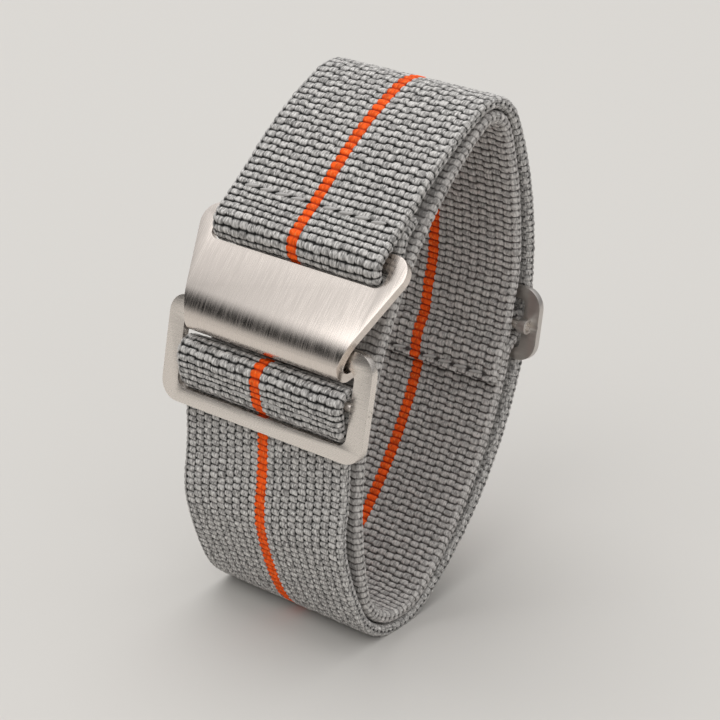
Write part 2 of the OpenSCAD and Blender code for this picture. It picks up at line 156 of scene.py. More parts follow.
def combined(operation, *parts):
    """One number of the sky made from two others, each a number or a socket."""
    node = wn.new("ShaderNodeMath")
    node.operation = operation
    for part, socket in zip(parts, node.inputs):
        if isinstance(part, float):
            socket.default_value = part
        else:
            wl.new(part, socket)
    return node.outputs[0]


sky = sky_ramp([(0.0, 0.25), (0.30, 0.37), (0.55, 0.64), (1.0, 0.86)])
low_part = sky_ramp([(0.02, 0.0), (0.07, 1.0), (0.30, 1.0), (0.50, 0.0)])
glow = toward(bright_side, low=0.70, high=1.0, least=1.0, most=1.24)
near_screen = toward(screen_side, low=0.66, high=0.86, least=0.0, most=1.0)
screen = combined("MULTIPLY", low_part.outputs["Color"], near_screen.outputs["Result"])
strength = combined("MULTIPLY", combined("SUBTRACT", 1.0, screen), glow.outputs["Result"])
wl.new(sky.outputs["Color"], wn["Background"].inputs["Color"])
wl.new(strength, wn["Background"].inputs["Strength"])


def soft_lamp(name, place, size, power, colour=(1.0, 1.0, 1.0)):
    """A round lamp, its size across in metres and its power in watts, that shines on the band."""
    data = bpy.data.lights.new(name, "AREA")
    data.shape = "DISK"
    data.size = size
    data.energy = power
    data.color = colour
    lamp = add_object(name, data)
    lamp.location = place
    turn_toward(lamp, aim - lamp.location)


soft_lamp("front_lamp", place=(-0.05, -0.72, 0.85), size=0.9, power=1.8, colour=(1.0, 0.99, 0.98))
soft_lamp("top_lamp", place=(-0.30, 0.24, 1.03), size=1.1, power=5.0)
soft_lamp("side_lamp", place=(0.85, -0.35, 0.35), size=0.8, power=0.75)

# Outer strap
# One length of elastic webbing, rubber and polyester yarns in a ribbed weave, with an orange
# column. It is sewn round the hook's bar, runs over the top, down the back and under the bottom,
# and is sewn round the catch bar. Seen from the side, four arcs make its loop.
web_w = 20.0
web_t = 1.1
layer_gap = 0.3
loop_len = 40.9
loop_lean = 18.8
bottom_r = 7.4
top_r = 4.7
front_r = 34.2
back_r = 37.6
clasp_room = 1.6
slider_room = 0.8
rest_depth = 0.45

# The weave: its columns across, the pillows that its yarns make in each row, and its colours.
columns = 19
column_pitch = 0.99
cell_steps = 8
edge_steps = 5
rib_depth = 0.38
notch_depth = 0.13
unevenness = 0.03
row_round = 2.6
column_round = 6
corner_round = 4
# How much of the relief and of the painted gap shade the rolled rims keep.
rim_relief_and_shade = 0.72
inlay_groove = 0.34
puff = 0.07
row_wander = 0.07
row_jitter = 0.04
stripe_w = 1.32
stitch_len = 1.9
seam_reach = 0.5
seam_waver = 0.10
# Painted shade in the needle holes of the seams.
hole_shade = 2.6
webbing_grey = (0.485, 0.467, 0.449, 1)
# Painted shade: the colour that the grey yarn takes down between the pillows and in the needle
# holes.
webbing_gap_shade = (0.010, 0.009, 0.008, 1)
# Painted highlight: the light colour of the grey yarn's strands.
yarn_painted_highlight = (0.95, 0.93, 0.90, 1)
orange_dye = (1.0, 0.112, 0.005, 1)
# Painted shade: the colour that the orange yarn takes down between its pillows.
orange_gap_shade = (0.50, 0.034, 0.001, 1)
# Painted highlight: the light colour of the orange yarn's strands.
orange_painted_highlight = (1.0, 0.27, 0.06, 1)


def polar(c, r, degrees):
    """Points on a circle in the YZ plane."""
    a = np.radians(degrees)
    return np.stack([c[0] + r * np.cos(a), c[1] + r * np.sin(a)], -1)


def bearing(p, q):
    """The direction from one point to another, in degrees."""
    return math.degrees(math.atan2(q[1] - p[1], q[0] - p[0]))


def wide_centre(p, rp, q, rq, r, side):
    """The centre of the wide arc of radius r that runs smoothly into two small circles."""
    gap = q - p
    d = np.linalg.norm(gap)
    u = gap / d
    a, b = r - rp, r - rq
    x = (a * a - b * b + d * d) / (2 * d)
    return p + u * x + side * np.array([-u[1], u[0]]) * math.sqrt(a * a - x * x)


def flatter(r, drop):
    """The radius of a wide arc whose middle lies lower by the drop than that of radius r."""
    h = loop_len / 2
    s = r - math.sqrt(r * r - h * h) - drop
    return (h * h + s * s) / (2 * s)


lean = math.radians(loop_lean)
bottom_c = np.array([0.0, bottom_r - rest_depth])
top_c = bottom_c + loop_len * np.array([math.sin(lean), math.cos(lean)])


def loop_arcs(fr, br, less):
    """The four arcs of a strap's loop: centre, radius, first and last bearing of each."""
    fc = wide_centre(bottom_c, bottom_r - less, top_c, top_r - less, fr, -1)
    bc = wide_centre(bottom_c, bottom_r - less, top_c, top_r - less, br, 1)
    return {"bottom": (bottom_c, bottom_r - less, bearing(fc, bottom_c), bearing(bc, bottom_c)),
            "back": (bc, br, bearing(bc, bottom_c), bearing(bc, top_c)),
            "top": (top_c, top_r - less, bearing(bc, top_c), bearing(fc, top_c)),
            "front": (fc, fr, bearing(fc, top_c), bearing(fc, bottom_c) + 360)}


outer = loop_arcs(front_r, back_r, 0)
mid = web_t / 2
front_c, back_c = outer["front"][0], outer["back"][0]


def sweep(arc, a, b, step=0.1):
    """The middle of the webbing along an arc between two bearings."""
    n = max(3, int(abs(b - a) * math.pi / 180 * arc[1] / step))
    return polar(arc[0], arc[1] - mid, np.linspace(a, b, n))


def running(points, pitch, ease=0.35, step=0.04):
    """A path through points in the YZ plane, with its kinks eased: row numbers, places and left
    normals. The pitch of its rows is given as distances along the path and the pitches there."""
    p = np.asarray(points, float)
    p = p[np.r_[True, np.linalg.norm(np.diff(p, axis=0), axis=1) > 1e-4]]
    s = np.r_[0, np.cumsum(np.linalg.norm(np.diff(p, axis=0), axis=1))]
    t = np.arange(0, s[-1], step)
    q = np.stack([np.interp(t, s, p[:, k]) for k in (0, 1)], -1)
    reach = int(3 * ease / step)
    bell = np.exp(-0.5 * (np.arange(-reach, reach + 1) * step / ease) ** 2)
    bell /= bell.sum()
    padded = np.concatenate([2 * q[0] - q[reach:0:-1], q, 2 * q[-1] - q[-2:-reach - 2:-1]])
    q = np.stack([np.convolve(padded[:, k], bell, "valid") for k in (0, 1)], -1)
    run = np.linalg.norm(np.diff(q, axis=0), axis=1)
    s = np.r_[0, np.cumsum(run)]
    d = np.gradient(q, s, axis=0)
    d /= np.linalg.norm(d, axis=1)[:, None]
    rows = np.r_[0, np.cumsum(run / np.interp(s[1:], *pitch))]
    return rows, q, np.stack([-d[:, 1], d[:, 0]], -1)


def at(path, rows):
    """The places and left normals of a path at its rows."""
    r, q, n = path
    rows = np.clip(rows, 0, r[-1])
    return (np.stack([np.interp(rows, r, q[:, k]) for k in (0, 1)], -1),
            np.stack([np.interp(rows, r, n[:, k]) for k in (0, 1)], -1))


def nearest_row(path, y, z, after=0.0):
    """The row of a path that lies nearest to a point, past a given row."""
    r, q = path[:2]
    too_early = np.where(r < after, 1e3, 0)
    return r[np.argmin(np.hypot(q[:, 0] - y, q[:, 1] - z) + too_early)]


def speckle(*cells):
    """The same made-up number from -1 to 1 for the same cell, in each run."""
    mixed = sum(np.asarray(c, float) * f for c, f in zip(cells, (12.9898, 78.233, 37.719)))
    return 2 * np.mod(np.sin(mixed) * 43758.5453, 1.0) - 1


def pillow(rows, place, column, stagger, flat_side):
    """The yarn's relief at a place: its height, how much painted shade it takes down between the
    pillows, how plump it is there, and its row. A stagger of 0.5 sets the columns like bricks."""
    shift = stagger * np.where(np.mod(column, 2) < 0.5, 0.5, -0.5)
    wander = row_wander * np.sin(rows * 0.9 + place * 0.55)
    v = rows + shift + wander + row_jitter * speckle(column, np.floor(rows))
    row = np.floor(v)
    w = np.abs(2 * (v - row) - 1)
    u = np.where(flat_side, 0, np.abs(2 * (place - np.floor(place + 1e-6)) - 1))
    u = np.minimum(1, u * (0.96 + 0.06 * w * w))
    along = np.sqrt(np.clip(1 - w ** row_round, 0, 1))
    across = np.sqrt(np.clip(1 - u ** column_round, 0, 1))
    corner = u ** corner_round
    rise = unevenness * speckle(column, row) - rib_depth * (0.70 + 0.30 * corner) * (1 - along)
    rise = rise - (notch_depth + 0.14 * stagger) * (1 - across)
    # Painted shade between the rows and between the columns, darkest at the corners.
    shade_between_rows = (0.95 - 0.70 * stagger + 0.65 * corner) * (1 - along)
    shade_between_columns = (0.28 + 0.40 * stagger) * (1 - across)
    return rise, np.clip(shade_between_rows + shade_between_columns, 0, 1), along, row


def section(thickness):
    """The webbing's outline across, whose two edges are rolled: x, normal offset, outward
    direction, place in columns all the way round, and whether it is on the flat back."""
    half_w = columns * column_pitch / 2
    half_t = thickness / 2 + puff
    edge_w = web_w / 2 - half_w
    u = np.arange(columns * cell_steps) / cell_steps
    share = np.arange(edge_steps * 2) / edge_steps
    turn = share * math.pi / 2
    back = np.arange(columns)
    side, up = np.sin(turn), np.cos(turn)
    x = np.r_[-half_w + u * column_pitch, half_w + edge_w * side,
              half_w - back * column_pitch, -half_w - edge_w * side]
    n = np.r_[half_t * np.ones(u.size), half_t * up, -half_t * np.ones(back.size), -half_t * up]
    ox = np.r_[0 * u, side, 0 * back, -side]
    on = np.r_[1 + 0 * u, up, 0 * back - 1, -up]
    place = np.r_[u, columns + share, columns + 2 + back, 2 * columns + 2 + share]
    flat_side = np.r_[0 * u, 0 * turn, 1 + 0 * back, 0 * turn] > 0.5
    return x, n, ox, on, place, flat_side


def cloth_grid(name, along, around):
    """A flat grid to roll into a tube: its mesh, and each point's step along and around."""
    bm = bmesh.new()
    bmesh.ops.create_grid(bm, x_segments=along, y_segments=around, size=0.5)
    mesh = mesh_from(bm, name)
    flat = np.empty(len(mesh.vertices) * 3)
    mesh.vertices.foreach_get("co", flat)
    flat = flat.reshape(-1, 3)
    return mesh, np.rint((flat[:, 0] + 0.5) * along), np.rint((flat[:, 1] + 0.5) * around)


def roll_up(mesh, co, cells, painted_gap_shade, tone, give=0.06):
    """Rolls the grid up at its new places, closes its seam and its two cut ends, and links the
    piece. Its lowest pillows give way where they rest on the floor."""
    co[:, 2] = np.logaddexp(0, co[:, 2] / give) * give
    mesh.vertices.foreach_set("co", (co * MM).ravel())
    corner = np.empty(len(mesh.loops), int)
    mesh.loops.foreach_get("vertex_index", corner)
    uv = mesh.uv_layers.new(name="cells")
    uv.data.foreach_set("uv", cells[corner].ravel())
    for label, values in (("painted_gap_shade", painted_gap_shade), ("tone", tone)):
        mesh.attributes.new(label, "FLOAT", "POINT").data.foreach_set("value", values)
    bm = bmesh.new()
    bm.from_mesh(mesh)
    bmesh.ops.remove_doubles(bm, verts=bm.verts, dist=1e-8)
    bmesh.ops.holes_fill(bm, edges=[e for e in bm.edges if e.is_boundary], sides=0)
    bmesh.ops.recalc_face_normals(bm, faces=bm.faces)
    for f in bm.faces:
        f.smooth = len(f.verts) < 5
        f.material_index = 0 if f.smooth else 1
    bm.to_mesh(mesh)
    bm.free()
    return add_object(mesh.name, mesh)


def woven(name, path, first_row, last_row, stagger, thickness, seams):
    """A run of webbing between two of its rows, woven all over, with its sewn rows pulled in."""
    x, n, ox, on, place, flat_side = section(web_t)
    along = (last_row - first_row) * cell_steps
    mesh, i, turn = cloth_grid(name, along, x.size)
    j = turn.astype(int) % x.size
    rows = first_row + i / cell_steps
    column = np.floor(place[j] + 1e-6)
    face = column < columns
    rise, gap_shade, _, row = pillow(rows, place[j], column, stagger(rows), flat_side[j])
    rolled = np.where(np.mod(column, columns + 2) >= columns, rim_relief_and_shade, 1.0)
    rise, gap_shade = rise * rolled, gap_shade * rolled
    for seam_row, depth in seams:
        near = np.exp(-((rows - seam_row + seam_waver * np.sin(place[j] * 3.3)) / seam_reach) ** 2)
        hole = np.cos(math.pi * (x[j] / stitch_len + 0.5)) ** 8
        rise = rise - np.where(face, depth * near * (0.5 + 0.5 * hole), 0)
        # Painted shade in the needle holes.
        gap_shade = np.clip(gap_shade + np.where(face, hole_shade * depth * near * hole, 0), 0, 1)
    rise = np.where(np.abs(place[j] - columns / 2) <= 0.5, -inlay_groove, rise)
    p, nl = at(path, rows)
    off = n[j] * thickness(rows) / web_t + on[j] * rise
    co = np.stack([x[j] + ox[j] * rise, p[:, 0] + nl[:, 0] * off, p[:, 1] + nl[:, 1] * off], -1)
    cells = np.stack([np.where(turn >= x.size, 2 * columns + 4, place[j]), rows], -1)
    return roll_up(mesh, co, cells, gap_shade, speckle(column, row + 7))


def inlay(name, path, first_row, last_row, stagger, thickness, seams):
    """The orange column of the same run: pillows between their grey neighbours, widest where
    they are plump."""
    steps = 8
    around = steps + 4
    mesh, i, turn = cloth_grid(name, (last_row - first_row) * cell_steps, around)
    j = turn.astype(int) % around
    rows = first_row + i / cell_steps
    u = np.where(j <= steps, 2 * j / steps - 1, np.interp(j, [steps, around], [1, -1]))
    column = np.full(rows.shape, columns // 2)
    rise, gap_shade, plump, row = pillow(rows, columns / 2 + 0.48 * u, column, stagger(rows), False)
    half = stripe_w / 2 * (0.70 + 0.34 * plump + 0.06 * speckle(row, 3))
    for seam_row, depth in seams:
        rise = rise - 0.7 * depth * np.exp(-((rows - seam_row) / 0.55) ** 2)
    face = thickness(rows) / 2 + puff
    base = face - rib_depth - notch_depth
    off = np.where(j <= steps, np.maximum(face + rise, base + 0.02), base)
    p, nl = at(path, rows)
    co = np.stack([u * half, p[:, 0] + nl[:, 0] * off, p[:, 1] + nl[:, 1] * off], -1)
    cells = np.stack([columns / 2 + u / 2, rows], -1)
    return roll_up(mesh, co, cells, gap_shade, speckle(column, row + 7))


def yarn_group():
    """Strands on a webbing's pillows from its cell coordinates: broad light and dark, a fine mask
    for painted highlights along the strands, and the bump of both."""
    group = bpy.data.node_groups.new("yarn_strands", "ShaderNodeTree")
    group.interface.new_socket("Cells", in_out="INPUT", socket_type="NodeSocketVector")
    group.interface.new_socket("Mask", in_out="OUTPUT", socket_type="NodeSocketFloat")
    group.interface.new_socket("Highlight", in_out="OUTPUT", socket_type="NodeSocketFloat")
    group.interface.new_socket("Normal", in_out="OUTPUT", socket_type="NodeSocketVector")
    n, l = group.nodes, group.links
    given, out = n.new("NodeGroupInput"), n.new("NodeGroupOutput")

    def strands(scale, detail, low, high):
        stretch = n.new("ShaderNodeMapping")
        stretch.inputs["Scale"].default_value = scale
        noise = n.new("ShaderNodeTexNoise")
        noise.inputs["Scale"].default_value = 1.0
        noise.inputs["Detail"].default_value = detail
        share = n.new("ShaderNodeMapRange")
        share.inputs["From Min"].default_value = low
        share.inputs["From Max"].default_value = high
        l.new(given.outputs["Cells"], stretch.inputs["Vector"])
        l.new(stretch.outputs["Vector"], noise.inputs["Vector"])
        l.new(noise.outputs["Fac"], share.inputs["Value"])
        return share

    broad = strands((4.2, 1.0, 1.0), 2.0, 0.38, 0.62)
    fine = strands((6.5, 1.7, 3.7), 1.0, 0.56, 0.68)
    both = n.new("ShaderNodeMath")
    both.operation = "ADD"
    bump = n.new("ShaderNodeBump")
    bump.inputs["Strength"].default_value = 0.6
    bump.inputs["Distance"].default_value = 0.00006
    l.new(broad.outputs["Result"], both.inputs[0])
    l.new(fine.outputs["Result"], both.inputs[1])
    l.new(both.outputs[0], bump.inputs["Height"])
    l.new(broad.outputs["Result"], out.inputs["Mask"])
    l.new(fine.outputs["Result"], out.inputs["Highlight"])
    l.new(bump.outputs["Normal"], out.inputs["Normal"])
    return group


yarn_strands = yarn_group()


def yarn_material(name, light, gap_shade_colour, highlight_colour, highlight_share=0.75, contrast=0.85, sink=(0.10, 0.45)):
    """Dyed yarn: lighter and darker strands with painted highlights on them, and painted shade
    down between the pillows.
    """
    mat = bpy.data.materials.new(name)
    mat.use_nodes = True
    n, l = mat.node_tree.nodes, mat.node_tree.links
    shader = n["Principled BSDF"]
    shader.inputs["Roughness"].default_value = 0.68
    shader.inputs["Specular IOR Level"].default_value = 0.35
    shader.inputs["Sheen Weight"].default_value = 0.12
    shader.inputs["Sheen Roughness"].default_value = 0.45
    cells = n.new("ShaderNodeUVMap")
    cells.uv_map = "cells"
    painted_gap_shade = n.new("ShaderNodeAttribute")
    painted_gap_shade.attribute_name = "painted_gap_shade"
    tone = n.new("ShaderNodeAttribute")
    tone.attribute_name = "tone"
    strands = n.new("ShaderNodeGroup")
    strands.node_tree = yarn_strands

    def scaled(socket, factor, offset):
        node = n.new("ShaderNodeMath")
        node.operation = "MULTIPLY_ADD"
        node.inputs[1].default_value = factor
        l.new(socket, node.inputs[0])
        if isinstance(offset, float):
            node.inputs[2].default_value = offset
        else:
            l.new(offset, node.inputs[2])
        return node.outputs[0]

    def mixed(blend, factor, a, b):
        node = n.new("ShaderNodeMix")
        node.data_type = "RGBA"
        node.blend_type = blend
        for label, value in (("Factor", factor), ("A", a), ("B", b)):
            if isinstance(value, (float, tuple)):
                node.inputs[label].default_value = value
            else:
                l.new(value, node.inputs[label])
        return node.outputs["Result"]

    strand_shade = scaled(strands.outputs["Mask"], contrast, 0.93 - contrast / 2)
    body = mixed("MULTIPLY", 1.0, light, scaled(tone.outputs["Fac"], 0.10, strand_shade))
    # Painted highlights: the fine strand mask mixes in a light colour.
    highlighted = mixed("MIX", scaled(strands.outputs["Highlight"], highlight_share, 0.0), body, highlight_colour)
    # Painted shade: over the range sink of the gap measure, the colour goes toward the gap colour
    # where the pillows meet.
    gap_shade = n.new("ShaderNodeMapRange")
    gap_shade.inputs["From Min"].default_value, gap_shade.inputs["From Max"].default_value = sink
    l.new(painted_gap_shade.outputs["Fac"], gap_shade.inputs["Value"])
    l.new(cells.outputs["UV"], strands.inputs["Cells"])
    l.new(mixed("MIX", gap_shade.outputs["Result"], highlighted, gap_shade_colour), shader.inputs["Base Color"])
    l.new(strands.outputs["Normal"], shader.inputs["Normal"])
    return mat


grey_yarn = yarn_material("grey_yarn", webbing_grey, webbing_gap_shade, yarn_painted_highlight)
orange_yarn = yarn_material("orange_yarn", orange_dye, orange_gap_shade, orange_painted_highlight,
                            highlight_share=0.6, contrast=0.4)
orange_shader = orange_yarn.node_tree.nodes["Principled BSDF"]
orange_shader.inputs["Sheen Weight"].default_value = 0.0
orange_shader.inputs["Specular IOR Level"].default_value = 0.2
cut_end = matt_material("heat_cut_end", (0.24, 0.23, 0.22, 1), 0.6)[0]

# Where the hook stands, whose bar the strap is sewn round.
hook_lean = math.radians(43.4)
hook_t = 0.85
hook_bar = 1.6
hook_down = np.array([-math.sin(hook_lean), -math.cos(hook_lean)])
hook_out = np.array([-math.cos(hook_lean), math.sin(hook_lean)])
hook_bearing = 140.6
hook_sunk = 0.63
hook_edge = polar(front_c, front_r - hook_sunk, hook_bearing)
hook_len = 8.6
bend_r = 5.4
fold_r = 0.7


def on_hook(down, out):
    """A point down along the hook's flat face from its top edge, and out from that face."""
    return hook_edge + down * hook_down + out * hook_out


skin = 0.08
loop_drop = 0.15
loop_slack = 0.28
loop_rise = 4.6
hook_turn_c = on_hook(hook_bar - hook_t / 2 + loop_drop, -hook_t / 2)
hook_turn_r = math.hypot(hook_t, hook_t) / 2 + skin / 2 + web_t / 2 + loop_slack
hook_join = bearing(front_c, on_hook(-loop_rise, 0))
hook_ply = on_hook(-1, skin + mid)
hook_meet = polar(front_c, front_r - mid, hook_join)
ply_turn = (hook_meet - hook_ply) / np.linalg.norm(hook_meet - hook_ply)
ply_in = np.array([ply_turn[1], -ply_turn[0]]) * (web_t + skin / 2)
face_bearing = bearing((0, 0), hook_out)

# Where the catch frame hangs from the hook's fold, and its bar that the strap is sewn round.
frame_lean = math.radians(12.2)
frame_down = np.array([-math.sin(frame_lean), -math.cos(frame_lean)])
frame_in = np.array([math.cos(frame_lean), -math.sin(frame_lean)])
frame_t = 0.8
frame_bar = 1.5
frame_drop = 8.9
fold_c = on_hook(hook_len, -bend_r) + (fold_r + hook_t - bend_r) * frame_in
frame_c = fold_c + (fold_r - 0.1 - frame_t / 2) * frame_in


def in_frame(down, inward):
    """A point down along the catch frame from its top bar, and inward from its middle."""
    return frame_c + down * frame_down + inward * frame_in


behind_bar = frame_t / 2 + skin + mid
catch_bar_low = 3.7
catch_bar_d = 0.9
catch_slack = 0.08
catch_bar_c = in_frame(catch_bar_low, 0)
catch_turn_r = catch_bar_d / 2 + skin + mid + catch_slack
under_bar = in_frame(frame_drop - frame_bar / 2, behind_bar)
over_bar = in_frame(frame_drop - frame_bar - skin - web_t / 3, behind_bar)
proud = in_frame(frame_drop - frame_bar - 1, -0.2)
under_bearing = bearing(front_c, under_bar) % 360
join_bearing = under_bearing + 0.6 * (outer["front"][3] - under_bearing)
sink = front_r - mid - np.linalg.norm(under_bar - front_c)
meet_bearing = (bearing(proud, catch_bar_c) + 90
                + math.degrees(math.asin(catch_turn_r / np.linalg.norm(catch_bar_c - proud))))
catch_top = polar(catch_bar_c, catch_turn_r, meet_bearing)
catch_rise = np.linalg.norm(catch_top - proud)
catch_up = (catch_top - proud) / catch_rise
tail_end = (catch_top - (catch_rise - 0.4) * catch_up
            + (web_t + 0.05) * np.array([catch_up[1], -catch_up[0]]))
leave_bearing = (bearing(catch_bar_c, tail_end)
                 + math.degrees(math.acos(catch_turn_r / np.linalg.norm(tail_end - catch_bar_c))))
dip = np.linspace(join_bearing, under_bearing, 40)
dip_share = np.clip((dip - join_bearing) / (under_bearing - join_bearing) * 1.5, 0, 1)
dip_points = np.array([polar(front_c, front_r - mid - sink * (1 - math.cos(math.pi * f)) / 2, a)
                       for a, f in zip(dip, dip_share)])

# The strap's whole route, from its cut end inside the hook's loop to its cut end behind the frame.
# Its rows lie closer near the clasp: distances along the strap, and their pitch there.
outer_pitch = ([0, 7, 11, 16, 30, 45, 118, 121],
               [0.60, 0.62, 0.70, 0.79, 0.81, 0.66, 0.66, 0.60])
hook_slope = hook_meet - hook_ply
outer_path = running(np.concatenate([
    [hook_meet - 0.1 * hook_slope + ply_in, hook_ply + 0.3 * hook_slope + ply_in,
     on_hook(-0.2, -hook_t - skin - mid)],
    polar(hook_turn_c, hook_turn_r, np.linspace(face_bearing + 180, face_bearing, 30)),
    [hook_ply],
    sweep(outer["front"], hook_join, outer["front"][2]),
    sweep(outer["top"], outer["top"][3], outer["top"][2]),
    sweep(outer["back"], outer["back"][3], outer["back"][2]),
    sweep(outer["bottom"], outer["bottom"][3], outer["bottom"][2]),
    sweep(outer["front"], outer["front"][3], join_bearing),
    dip_points[1:], [over_bar, proud],
    polar(catch_bar_c, catch_turn_r, np.linspace(meet_bearing, leave_bearing, 30)), [tail_end]]),
    outer_pitch)

# Rows where the strap passes from one moving body to the next, and the runs between them.
crown = (3.5, 45.0)
crown_row = round(nearest_row(outer_path, *crown, 10))
back_row = round(nearest_row(outer_path, 19.8, 26.0, 30))
bottom_row = round(nearest_row(outer_path, 0.0, 0.5, 60))
catch_row = round(nearest_row(outer_path, -8.6, 17.8, 90))
outer_rows = int(outer_path[0][-1])

outer_runs = [
    ("outer_hook_run", 0, crown_row, ["hook_loop"]),
    ("outer_upper_run", crown_row, back_row,
     ["outer_front_upper", "outer_top", "outer_back_upper"]),
    ("outer_back_run", back_row, bottom_row, ["outer_back", "outer_back_lower"]),
    ("outer_front_run", bottom_row, catch_row, ["outer_bottom", "outer_front_lower"]),
    ("outer_catch_run", catch_row, outer_rows, ["catch_loop"])]
hook_seam_row = nearest_row(outer_path, *(hook_ply + 0.55 * hook_slope), 5)
window_row = nearest_row(outer_path, *over_bar, 90)


def even(rows):
    """The webbing's thickness where nothing presses it."""
    return web_t


def outer_stagger(rows):
    """Straight ribs where the strap is taut at the hook and in the frame, bricks elsewhere."""
    return np.interp(rows, [hook_seam_row, crown_row, back_row, window_row - 3, window_row + 1],
                     [0.06, 0.16, 0.5, 0.5, 0.08])


hook_stitch_row = round(hook_seam_row) - 1
outer_seams = [(hook_stitch_row, 0.12)]
for run, first, last, stands_for in outer_runs:
    webbing = woven(run, outer_path, first, last, outer_stagger, even, outer_seams)
    column = inlay(run + "_orange", outer_path, first, last, outer_stagger, even, outer_seams)
    webbing.data.materials.append(grey_yarn)
    column.data.materials.append(orange_yarn)
    for piece in (webbing, column):
        piece.data.materials.append(cut_end)
    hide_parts(*stands_for)
    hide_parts("outer_stripe")
    for piece in (webbing, column):
        if run == "outer_hook_run":
            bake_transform(piece)
        elif run == "outer_upper_run":
            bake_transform(piece)
        elif run in ("outer_back_run", "outer_front_run"):
            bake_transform(piece)
        else:
            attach(piece, "clasp")

# Inner strap
# The same webbing, a full ring inside the first. Its two ends meet at the slider: one goes round
# the slider's bar and is sewn down over the other, which lies pressed flat behind it.
inset = web_t + layer_gap
in_front_r = flatter(front_r - inset, clasp_room)
in_back_r = flatter(back_r - inset, slider_room)
inner = loop_arcs(in_front_r, in_back_r, inset)
slider_bearing = -9.8
slider_bar_d = 0.9
pressed_t = 0.75
slider_bar_r = back_r - web_t - 2 * skin - pressed_t - slider_bar_d / 2
degree_len = slider_bar_r * math.pi / 180
pocket_up = 5.6
pocket_low = 8.2
flap_len = 6.2
press_len = 4.3
inner_pitch = 0.69
# Painted light: the inner strap is the same webbing, given a lighter grey and a lighter painted
# gap shade inside the loop, where less light reaches it.
inside_painted_light_grey = (0.55, 0.524, 0.503, 1)
inside_gap_shade = (0.11, 0.10, 0.095, 1)
bar_ply_r = slider_bar_r - slider_bar_d / 2 - skin - mid


def back_at(s):
    """The bearing from the back's centre at a distance above the slider's bar."""
    return slider_bearing + s / degree_len


def run_mid(s):
    """How far the inner strap's middle lies from the back's centre at that distance."""
    a = math.radians(back_at(s))
    v = inner["back"][0] - back_c
    u = np.array([math.cos(a), math.sin(a)])
    k = v @ u
    return k + math.sqrt(in_back_r ** 2 - v @ v + k * k) - mid


def ease_in(f):
    """A share that starts and stops softly."""
    f = min(1.0, max(0.0, f))
    return (1 - math.cos(math.pi * f)) / 2


def lerp(a, b, f):
    """The value a share of the way from a to b."""
    return a + (b - a) * f


def flap_at(s):
    """The end that is sewn down: over the slider's bar, then inside the strap's other end."""
    if s > 1:
        r = lerp(bar_ply_r, run_mid(s), ease_in((s - 1) / (pocket_up - 1)))
    else:
        r = lerp(bar_ply_r, run_mid(s) - web_t - skin, ease_in((-s - 0.8) / 3))
    return polar(back_c, r, back_at(s))


press_r = back_r - web_t - skin - pressed_t / 2


def under_at(s):
    """The other end, which dips behind the slider's bar."""
    return polar(back_c, lerp(run_mid(s), press_r, ease_in((s + 2.9) / 1.8)), back_at(s))


def back_bearing(s):
    """The bearing of the inner strap's middle from the centre of its own back arc."""
    return bearing(inner["back"][0], polar(back_c, run_mid(s), back_at(s)))


up_bearing = back_bearing(pocket_up)
low_bearing = back_bearing(-pocket_low)
inner_path = running(np.concatenate([
    [flap_at(s) for s in np.linspace(-flap_len, pocket_up, 60)],
    sweep(inner["back"], up_bearing + 0.2, inner["back"][3]),
    sweep(inner["top"], inner["top"][2], inner["top"][3]),
    sweep(inner["front"], inner["front"][2], inner["front"][3]),
    sweep(inner["bottom"], inner["bottom"][2], inner["bottom"][3]),
    sweep(inner["back"], inner["back"][2], low_bearing - 0.2),
    [under_at(s) for s in np.linspace(-pocket_low, 1.4, 50)]]),
    ([0, 200], [inner_pitch, inner_pitch]))
flap_row = round(nearest_row(inner_path, 17.8, 39.0))
behind_row = round(nearest_row(inner_path, -3.3, 30.0, 35))
foot_row = round(nearest_row(inner_path, -4.2, 3.6, 60))
low_row = round(nearest_row(inner_path, 11.2, 12.0, 70))
inner_rows = int(inner_path[0][-1])
press_row = inner_path[0][-1] - press_len / inner_pitch
flap_seam_row = 1
inner_seams = [(flap_seam_row, 0.22)]


def inner_stagger(rows):
    """Nearly straight ribs all the way round."""
    return 0.16 + 0 * rows


def pressed(rows):
    """The thickness of the end that is pressed flat behind the slider's bar."""
    f = np.clip((rows - press_row) / 2.6, 0, 1)
    return web_t + (pressed_t - web_t) * (1 - np.cos(math.pi * f)) / 2


def flattened(rows):
    """The thickness of the end that is sewn down, thin at its cut."""
    f = np.clip(rows / 4, 0, 1)
    return pressed_t + (web_t - pressed_t) * (1 - np.cos(math.pi * f)) / 2


